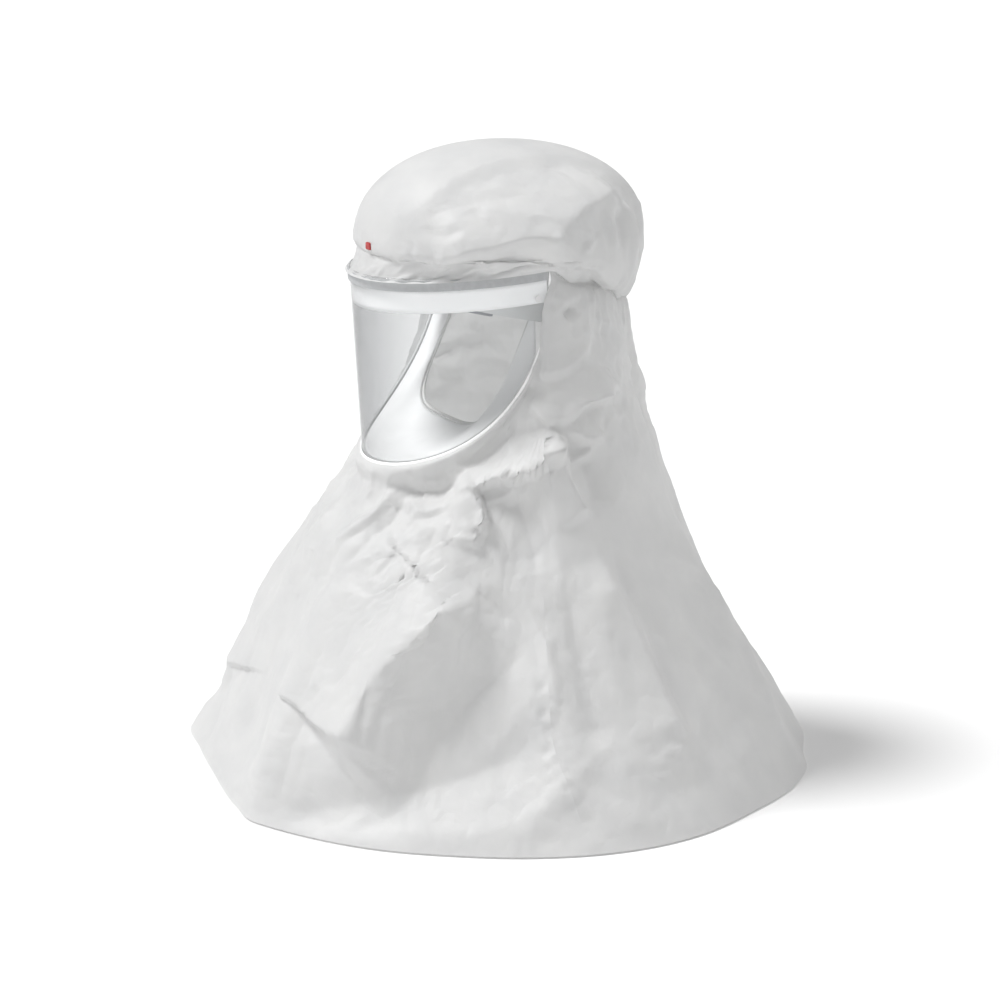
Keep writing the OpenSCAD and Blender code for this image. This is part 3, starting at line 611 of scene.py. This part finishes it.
def crease_noise(p, size, seed, warp=0.35):
    """Ridges between random cells, about size apart: 1 on a ridge, falling evenly to a cell's middle."""
    q = Vector(p) / size + Vector((seed, seed * 1.7, seed * 0.3))
    q += noise.noise_vector(q * 1.3) * warp
    d = noise.voronoi(q)[0]
    return 1 - min(1.0, (d[1] - d[0]) * 1.4)


def pleats(a, pitch, seed):
    """Gathers along a drawn-in edge: sharp crests about pitch degrees apart, of uneven height."""
    phase = a / pitch + 0.9 * noise.noise(Vector((a * 0.07, seed, 0)))
    crest = 1 - abs((phase % 1.0) - 0.5) * 2
    return (crest ** 1.4) * (0.45 + 0.55 * abs(noise.noise(Vector((math.floor(phase) * 0.77, seed, 3)))) * 1.6)


def settle(name, verts, faces, pinned, rest, frames, cap, bending, gravity):
    """Cloth that starts at verts and was cut to rest, held at the pinned points. Gives each point's move."""
    obj = new_object(name, verts, faces, NONWOVEN)
    obj.shape_key_add(name="Basis")
    key = obj.shape_key_add(name="cut")
    for i, v in enumerate(rest):
        key.data[i].co = v * MM
    group = obj.vertex_groups.new(name="pinned")
    for i, weight in pinned.items():
        group.add([i], weight, "REPLACE")
    cloth = obj.modifiers.new("cloth", "CLOTH")
    c = cloth.settings
    c.quality = 6
    c.mass = 0.05
    c.tension_stiffness = c.compression_stiffness = 30
    c.shear_stiffness = 20
    c.bending_stiffness = bending
    c.tension_damping = c.compression_damping = c.shear_damping = 12
    c.bending_damping = 1
    c.air_damping = 4
    c.vertex_group_mass = "pinned"
    c.pin_stiffness = 3
    c.rest_shape_key = key
    c.effector_weights.gravity = gravity
    cloth.point_cache.frame_start, cloth.point_cache.frame_end = 1, frames
    scene = bpy.context.scene
    for frame_number in range(1, frames + 1):
        scene.frame_set(frame_number)
    settled = obj.evaluated_get(bpy.context.evaluated_depsgraph_get()).data
    moves = []
    for i, v in enumerate(settled.vertices):
        move = v.co / MM - verts[i]
        if move.length > cap:
            move *= cap / move.length
        moves.append(move)
    scene.frame_set(1)
    mesh = obj.data
    bpy.data.objects.remove(obj)
    bpy.data.meshes.remove(mesh)
    return moves


def between(get, n, closed):
    """Values at n places and halfway between them, on a smooth curve through them."""
    at = (lambda i: get(i % n)) if closed else (lambda i: get(max(0, min(n - 1, i))))
    out = []
    for i in range(n):
        out.append(get(i))
        if closed or i < n - 1:
            out.append((at(i) + at(i + 1)) * 0.5625 - (at(i - 1) + at(i + 2)) * 0.0625)
    return out


def finer(moves, na, nk):
    """The moves of a closed grid, on a grid twice as fine each way."""
    cols = [between(lambda j, c=c: moves[c * nk + j], nk, False) for c in range(na)]
    rows = [between(lambda i, j=j: cols[i][j], na, True) for j in range(2 * nk - 1)]
    return [rows[j][i] for i in range(2 * na) for j in range(2 * nk - 1)]


def relax(verts, na, nk, weight, rounds):
    """Evens out a closed grid where weight is above 0; its first and last rows stay."""
    spots = [(i, j, weight(i, j)) for i in range(na) for j in range(1, nk - 1)]
    spots = [(i, j, w) for i, j, w in spots if w > 0]
    for _ in range(rounds):
        new = []
        for i, j, w in spots:
            around = (verts[(i + 1) % na * nk + j] + verts[(i - 1) % na * nk + j]
                      + verts[i * nk + j + 1] + verts[i * nk + j - 1]) / 4
            new.append(verts[i * nk + j].lerp(around, w))
        for (i, j, w), v in zip(spots, new):
            verts[i * nk + j] = v


def corner_weight(angles, ks, low):
    """Where the cape turns round the visor's corners."""
    def weight(i, j):
        a = abs((angles[i] + 180) % 360 - 180)
        return 0.6 * smooth(1.3 - abs(a - 81) / 16) * smooth((ks[j] - low) / 0.1)
    return weight


def seam_lean(a, k):
    """The side seams lean forwards between the shoulder and the hem."""
    a = (a + 180) % 360 - 180
    lean = (1.5 + 5.0 * smooth(k / 0.2)) * smooth((1 - k) / 0.55)
    return a - math.copysign(lean * smooth(1 - abs(abs(a) - SEAM_ANGLE) / 30), a)


def cape_grid(na, nk):
    angles = [SEAM_ANGLE + 360 * i / na for i in range(na)]
    ks = steps(0, 1, nk)
    verts = [Vector(cape_point(seam_lean(a, k), k)) for a in angles for k in ks]
    return angles, ks, verts, grid_faces(na, nk, True)


def build_cape():
    na, nk = ((240, 89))
    angles, ks, verts, faces = cape_grid(na, nk)
    normals = vertex_normals(verts, faces)
    pinned, rest, start = {}, [], []
    for i, v in enumerate(verts):
        k = ks[i % nk]
        hold = smooth(k / 0.08) * smooth((1 - k) / 0.05)
        upper = smooth((k - 0.45) / 0.3)
        start.append(v + normals[i] * (crease_noise(v, 75, 1.0) * 5 * upper - 2) * hold)
        if i % nk in (0, nk - 1):
            pinned[i] = 1.0
        # The cut is taller and wider than the cape stands, most at the neck, so it crumples there.
        spare = 0.015 + 0.09 * smooth((k - 0.5) / 0.25)
        round_spare = 1.008 + 0.035 * upper
        rest.append(Vector((v.x * round_spare, v.y * round_spare, v.z * (1 + spare))))
    moves = settle("cape_cloth", start, faces, pinned, rest, 26, 14, 3.0, 0.05)
    moves = [m + s - v for m, s, v in zip(moves, start, verts)]
    moves = finer(moves, na, nk)
    na, nk = 2 * na, 2 * nk - 1
    angles, ks, verts, faces = cape_grid(na, nk)
    verts = [v + m for v, m in zip(verts, moves)]
    relax(verts, na, nk, corner_weight(angles, ks, 0.72), 24)
    normals = vertex_normals(verts, faces)
    folds = fold_field(CAPE_FOLDS, cape_point)
    for i, v in enumerate(verts):
        a, k = angles[i // nk], ks[i % nk]
        a = (a + 180) % 360 - 180
        hold = smooth(k / 0.05) * smooth((1 - k) / 0.04)
        upper = smooth((k - 0.5) / 0.2)
        rise = folds(v, normals[i]) - 2
        calm = lerp(1, 0.35, smooth((abs(a) - 112) / 20))
        rise += crease_noise(v, 46, 7.0) * 4.0 * upper * calm + crease_noise(v, 140, 4.0) * 6
        rise += crease_noise(v, 17, 9.0) * (0.3 + 0.9 * upper)
        # The cape draws in under the visor before it flares.
        rise -= 15 * smooth((k - 0.74) / 0.16) * smooth((1 - k) / 0.07) * smooth((74 - abs(a)) / 24)
        gathered = smooth((abs(a) - 79) / 18) * smooth((k - 0.80) / 0.15)
        seam = max(0.0, 1 - abs(abs(a) - SEAM_ANGLE) / 6) * smooth((0.5 - k) / 0.1)
        rise += crease_noise(v, 12, 3.0) * seam * (0.8 + 2.2 * smooth((0.29 - k) / 0.06) * smooth((k - 0.03) / 0.05))
        rise += pleats(a, 5.5, 2.0) * 3.4 * gathered
        verts[i] = v + normals[i] * rise * hold
    return angles, ks, verts, faces


def split_cape():
    angles, ks, verts, faces = build_cape()
    na, nk = len(angles), len(ks)
    front_start = min(i for i in range(na) if angles[i] >= 360 - SEAM_ANGLE)
    front = list(range(front_start, na)) + [0]
    back = list(range(0, front_start + 1))
    out = []
    for name, cols in (("cape_front_cloth", front), ("cape_back_cloth", back)):
        vs = [verts[c * nk + j] for c in cols for j in range(nk)]
        out.append(new_object(name, vs, grid_faces(len(cols), nk, False), NONWOVEN))
    return out


cape_front, cape_back = split_cape()
for cloth, node_name in ((cape_front, "cape_front"), (cape_back, "cape_back")):
    place(cloth, ROOT, "hood_fabric", node_name)


# ---------------------------------------------------------------- crown

CROWN_W, CROWN_FRONT, CROWN_REAR, CROWN_BELT, CROWN_TOP = 126, 146, 149, 530, 620
CROWN_POWER = 2.15
BROW_OFFSET = LENS_T + 2 + 0.5 + FABRIC_T


def crown_edge(a):
    if abs(a) <= 90:
        return on_visor(a, BROW_OFFSET, 3.5)
    s = (abs(a) - 90) / 90
    t = 90 + 90 * s
    corner = lerp(VISOR_Z - 3.5, VISOR_Z - 17, smooth(s / 0.14))
    return (math.copysign(VISOR_W + BROW_OFFSET - 3 * s, a) * sind(t), VISOR_Y - (NAPE_DEPTH + 4) * cosd(t),
            lerp(corner, NAPE_Z + 4, smooth(s)))


def crown_point(a, k):
    """k runs from 0 at the bonnet's edge to 1 at its top."""
    a = (a + 180) % 360 - 180
    tuck_share = 0.1
    sag = lerp(26, 106, smooth((abs(a) - 80) / 90))
    tuck = lerp(-6, -32, smooth((abs(a) - 70) / 90))

    def dome(f):
        r = signed_power(cosd(f), 2 / CROWN_POWER)
        lift = (CROWN_TOP - CROWN_BELT) * signed_power(sind(f), 2 / CROWN_POWER) if f > 0 else sag * sind(f)
        reach = CROWN_FRONT if abs(a) < 90 else CROWN_REAR
        return CROWN_W * r * sind(a), -reach * r * cosd(a), CROWN_BELT + lift
    if k < tuck_share:
        return mix(crown_edge(a), dome(tuck), k / tuck_share)
    return dome(lerp(tuck, 89.5, (k - tuck_share) / (1 - tuck_share)))


# Folds and seams of the bonnet, written as the cape's are.
CROWN_SIDE = [
    ([(4, -131, 573), (33, -133, 561), (45, -133, 551), (51, -133, 542), (60, -128, 537), (58, -131, 520)], 6, 6, -2.4),
    ([(79, -113, 524), (91, -101, 530), (100, -89, 536), (109, -72, 539), (117, -52, 544), (121, -36, 546), (123, -24, 544), (126, -11, 534), (125, 1, 527)], 14, 45, 10),
    ([(84, -107, 517), (103, -80, 522), (117, -50, 527), (123, -16, 525)], 12, 12, -8),
    ([(124, -18, 546), (126, -5, 537), (125, 8, 527)], 9, 14, 5),
    ([(84, 81, 579), (107, 50, 571), (117, 22, 565), (124, -5, 550)], 55, 24, 10),
    ([(122, 25, 549), (124, 27, 537), (125, 21, 528)], 8, 8, 4),
    ([(114, 52, 556), (115, 58, 543), (115, 59, 525)], 9, 8, 5),
    ([(102, 72, 563), (108, 75, 542), (107, 73, 518)], 9, 9, -5),
    ([(90, 89, 567), (97, 93, 543), (96, 92, 514)], 12, 9, 6),
    ([(79, -113, 525), (72, -121, 516)], 6, 6, -3),
    ([(62, -127, 523), (57, -134, 513)], 6, 6, -3),
    ([(87, -83, 574), (98, -79, 563), (110, -62, 554)], 18, 18, -3),
    ([(69, -119, 550), (85, -104, 549), (94, -90, 555)], 9, 9, -2.5),
    ([(-2, -107, 594), (-10, -78, 608), (-16, -48, 615)], 40, 40, -5),
]
CROWN_BACK = [
    ([(148, .50), (146, .32), (150, .12)], 18, 14, -6),
    ([(165, .5), (168, .3), (164, .12)], 16, 12, 6),
    ([(-178, .46), (-176, .28), (-178, .12)], 14, 14, -5),
    ([(-160, .5), (-158, .3), (-162, .12)], 14, 18, 6),
]
CROWN_FOLDS = CROWN_SIDE + CROWN_BACK + mirrored(CROWN_SIDE)


def crown_grid(na, nk):
    angles = [-180 + 360 * (i + 0.5) / na for i in range(na)]
    ks = steps(0, 1, nk)
    return angles, ks, [Vector(crown_point(a, k)) for a in angles for k in ks], grid_faces(na, nk, True)


def build_crown():
    na, nk = ((160, 60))
    angles, ks, verts, faces = crown_grid(na, nk)
    normals = vertex_normals(verts, faces)
    pinned, rest = {}, []
    for i, v in enumerate(verts):
        k = ks[i % nk]
        if i % nk == 0:
            pinned[i] = 1.0
        loose = 1 - 0.85 * smooth((75 - abs((angles[i // nk] + 180) % 360 - 180)) / 30)
        spare = 1.006 + 0.036 * smooth((0.55 - k) / 0.3) * loose
        rest.append(Vector((v.x * spare, v.y * spare, CROWN_BELT + (v.z - CROWN_BELT) * (spare + 0.01))))
    moves = settle("bonnet_cloth", verts, faces, pinned, rest, 20, 7, 3.0, 0.3)
    ring = [moves[i * nk + nk - 4] for i in range(na)]
    middle = sum(ring, Vector((0, 0, 0))) / na
    for i in range(na):
        for j in (1, 2, 3):
            moves[i * nk + nk - j] = ring[i].lerp(middle, (4 - j) / 3)
    moves = finer(moves, na, nk)
    na, nk = 2 * na, 2 * nk - 1
    angles, ks, verts, faces = crown_grid(na, nk)
    angles = [-180 + 360 * (i / 2 + 0.5) / (na / 2) for i in range(na)]
    plain = [Vector(crown_point(a, k)) for a in angles for k in ks]
    plain_normals = vertex_normals(plain, faces)
    verts = [v + m for v, m in zip(plain, moves)]
    normals = vertex_normals(verts, faces)
    folds = fold_field(CROWN_FOLDS, crown_point)
    for i, v in enumerate(verts):
        a, k = angles[i // nk], ks[i % nk]
        hold = smooth(k / 0.05) * smooth((1 - k) / 0.1)
        side = smooth((abs(a) - 50) / 35)
        low = smooth((0.42 - k) / 0.3) * (0.25 + 0.75 * side)
        rise = folds(v, normals[i]) + crease_noise(v, 90, 2.0) * 3.5 + crease_noise(v, 34, 5.0) * (0.9 + 2.2 * low) - 3
        bag = smooth((abs(a) - 104) / 14) * smooth((0.3 - k) / 0.16) * smooth(k / 0.07)
        v.z -= 13 * bag
        gathered = smooth((abs(a) - 82) / 8) * smooth((0.24 - k) / 0.2)
        eased = smooth((82 - abs(a)) / 8) * smooth((0.14 - k) / 0.12)
        rise += pleats(a, 5.0, 6.0) * (3.6 * gathered + 0.5 * eased)
        v += normals[i] * rise * hold
        # Over the air duct the bonnet rests on it.
        under = smooth((k - 0.22) / 0.12) * smooth((70 - abs(v.x)) / 20)
        sunk = (v - plain[i]).dot(plain_normals[i]) + 1.0
        if sunk < 0:
            v -= plain_normals[i] * sunk * under
    faces.append(tuple(i * nk + nk - 1 for i in range(na)))
    return new_object("crown_cloth", verts, faces, NONWOVEN)


crown = build_crown()
place(crown, ROOT, "hood_fabric", "hood_crown")


# ---------------------------------------------------------------- visor and face seal

def visor_sheet(name, g, top, bottom, reach, nt, nd, mat, t_mm):
    """A strip of the visor's wall, with its columns closer together towards its ends."""
    turns = [reach * sind(90 * v) for v in steps(-1, 1, nt)]
    obj = grid_object(name, lambda t, k: on_visor(t, g, lerp(bottom(t), top(t), k)), turns, steps(0, 1, nd), mat)
    return thicken(obj, t_mm)


lens = visor_sheet("lens_sheet", LENS_T, lambda t: 0, lens_depth, 89.8, 200, 30, LENS, LENS_T)
place(lens, ROOT, "lens", "visor_lens")
lens.visible_shadow = False

brow = visor_sheet("brow_band_sheet", -0.1, lambda t: BROW_DROP, lambda t: min(BROW_DROP + BROW_H, lens_depth(t)),
                   89, 160, 6, WHITE_FILM, BROW_T)
place(brow, ROOT, "white_film", "visor_brow_band")

# The brow seal is a part, but its mid-grey is painted shade for the shaded gap between the bonnet's edge and the brow
# band.
brow_seal = visor_sheet("brow_seal_foam", LENS_T + 2.1, lambda t: 1.5, lambda t: BROW_DROP, 88.8, 160, 6, FOAM_GREY_AND_PAINTED_SHADE, 2)
rounded(brow_seal, 0.5)
place(brow_seal, ROOT, "grey_foam", "visor_brow_seal")


def loft(name, rings, mat):
    """A closed skin through rings of points."""
    n, m = len(rings), len(rings[0])
    faces = [(i * m + j, i * m + (j + 1) % m, (i + 1) * m + (j + 1) % m, (i + 1) * m + j)
             for i in range(n - 1) for j in range(m)]
    faces += [tuple(range(m - 1, -1, -1)), tuple((n - 1) * m + j for j in range(m))]
    return new_object(name, [tuple(p) for ring in rings for p in ring], faces, mat)


def tube_rings(path, outward, wide, high, sides=12):
    """Rings of an oval tube: wide across the outward direction, high along it."""
    last = len(path) - 1
    rings = []
    for i, p in enumerate(path):
        along = (path[min(last, i + 1)] - path[max(0, i - 1)]).normalized()
        up = (outward[i] - along * outward[i].dot(along)).normalized()
        side = along.cross(up)
        end = (1 - (2 * i / last - 1) ** 40) ** 0.5 + 0.05
        rings.append([p + (side * wide * cosd(360 * j / sides) + up * high * sind(360 * j / sides)) * min(1, end)
                      for j in range(sides)])
    return rings


def rim_path(g, down, n):
    return [Vector(on_visor(t, g, depth + down)) for t, _, depth in (rim_place(a) for a in steps(-76.8, 76.8, n))]


piping_path = rim_path(LENS_T + 1.0, 0.6, 260)
piping_out = [b - a for a, b in zip(piping_path, rim_path(LENS_T + 2.0, 0.6, 260))]
piping = loft("visor_piping", tube_rings(piping_path, piping_out, 1.7, 0.95), PIPING)
place(piping, ROOT, "binding", "visor_edge_trim")

FACE_W, FACE_Z, FACE_TOP_Z, FACE_Y, FACE_TOP_Y = 72, 350, 474, -61, 2


def face_edge(u):
    a = abs(u)
    x = math.copysign(FACE_W * (1 - (1 - min(1, a * 1.7)) ** 2) ** 0.5, u)
    return x, lerp(FACE_Y, FACE_TOP_Y, a ** 1.7), lerp(FACE_Z, FACE_TOP_Z, a ** 1.9)


def seal_point(u, k):
    t = u * 86
    rim = Vector(on_visor(t, -2.4, max(24, lens_depth(t) - 1.5)))
    p = rim.lerp(Vector(face_edge(u)), k)
    p.z -= 5 * sind(180 * k) * (1 - abs(u) ** 3)
    return tuple(p)


seal = grid_object("face_seal_cloth", seal_point, steps(-0.97, 0.97, 160), steps(0, 1, 24), SEAL_KNIT)
thicken(seal, 1.2, 1.0)
place(seal, ROOT, "seal_knit", "face_seal")


def cord_point(u):
    edge, rim = Vector(face_edge(u)), Vector(seal_point(u, 0))
    return edge + (edge - rim).normalized() * 3.7


cord_path = [cord_point(u) for u in steps(-0.95, 0.95, 220)]
cord_out = [p - Vector(face_edge(u)) for p, u in zip(cord_path, steps(-0.95, 0.95, 220))]
seal_cord = loft("face_seal_cord", tube_rings(cord_path, cord_out, 1.5, 1.5), ELASTIC)
place(seal_cord, ROOT, "elastic", "face_seal_elastic")


# ---------------------------------------------------------------- pads, elastic and tab

BAND_W, BAND_L, BAND_T, BAND_H, BAND_Z, BAND_SLOPE = 78, 95, 1.8, 22, 466, 13


def in_band(x, y, z):
    c, s = cosd(BAND_SLOPE), sind(BAND_SLOPE)
    return Vector((x, y * c + z * s, BAND_Z - y * s + z * c))


def pad(name, point, half, thick, cells, body, slot_name, node_name):
    """A soft strip: point(u, w, d) places u along it, w across it and d from its fixed face to its free face."""
    rings = []
    for u in steps(0, 1, 24 * cells + 1):
        end = max(0.04, 1 - abs(2 * u - 1) ** 24) ** 0.5
        quilt = 1 - 0.3 * math.exp(-(((u * cells + 0.5) % 1 - 0.5) / 0.06) ** 2)
        ring = []
        for j in range(40):
            turn = 360 * j / 40
            w = signed_power(cosd(turn), 0.4)
            stitch = 1 - 0.25 * math.exp(-((abs(w) - 0.74) / 0.05) ** 2)
            d = thick * (0.5 + 0.5 * signed_power(sind(turn), 0.55) * end * (quilt * stitch if turn < 180 else 1))
            ring.append(point(u, w * half * (0.94 + 0.06 * end), d))
        rings.append(ring)
    obj = loft(name, rings, PAD_FOAM)
    place(obj, body, slot_name, node_name)
    return obj


def sweatband_point(u, w, d):
    t = lerp(-62, 62, u)
    return in_band((BAND_W - 0.1 - d) * sind(t), -(BAND_L - 0.1 - d) * cosd(t), w)


def nape_pad_point(u, w, d):
    t = lerp(45, 135, u)
    arm, bend, reach = 80.2, 46, 48
    return in_band((arm - d) * cosd(t), bend + (reach - d) * sind(t), w)


def crown_pad_point(u, w, d):
    t = lerp(72, 108, u)
    return in_band((76.0 - d) * cosd(t), 5 + w, (113.9 - d) * sind(t))


pad("sweatband_pad", sweatband_point, 14, 3, 6, ROOT, "pad_foam", "sweatband")
pad("nape_cushion", nape_pad_point, 11, 3.5, 5, "cradle", "pad_foam", "nape_pad")
pad("crown_cushion", crown_pad_point, 13, 4, 3, ROOT, "pad_foam", "crown_pad")


def nape_tape_point(a, k):
    """Elastic tape inside the gathered seam, drawn up into small waves."""
    x, y, z = nape_point(a - 360 if a > 180 else a, -2.7 + 0.7 * sind(a * 36) * (0.4 + 0.6 * k))
    return x, y, z - 7 * (1 - k)


nape_tape = grid_object("nape_tape", nape_tape_point, steps(SEAM_ANGLE + 6, 354 - SEAM_ANGLE, 900), steps(0, 1, 7), ELASTIC)
thicken(nape_tape, 0.8, 0)
place(nape_tape, ROOT, "elastic", "nape_elastic")


def crown_front_y(x, z, reach):
    """How far forward the bonnet's cloth stands round a place."""
    return min(v.co.y for v in crown.data.vertices
               if abs(v.co.x / MM - x) < reach and abs(v.co.z / MM - z) < reach and v.co.y < 0) / MM


TAB_Y = crown_front_y(3, CROWN_BELT, 6)


def tab_ring(depth, grow):
    """Outline of the sewn tab: a rectangle with rounded corners."""
    ring = []
    for j in range(48):
        t = 360 * j / 48
        x, z = 4.5 * signed_power(cosd(t), 0.35) * grow, 3.5 * signed_power(sind(t), 0.35) * grow
        ring.append(Vector((3 + x, TAB_Y - depth, CROWN_BELT + z)))
    return ring


tab = loft("front_tab", [tab_ring(-0.4, 1), tab_ring(0.9, 1), tab_ring(1.15, 0.95), tab_ring(1.0, 0.86),
                         tab_ring(1.2, 0.8), tab_ring(1.2, 0.4)], TAB_RED)
place(tab, ROOT, "tab_red", "label_patch")
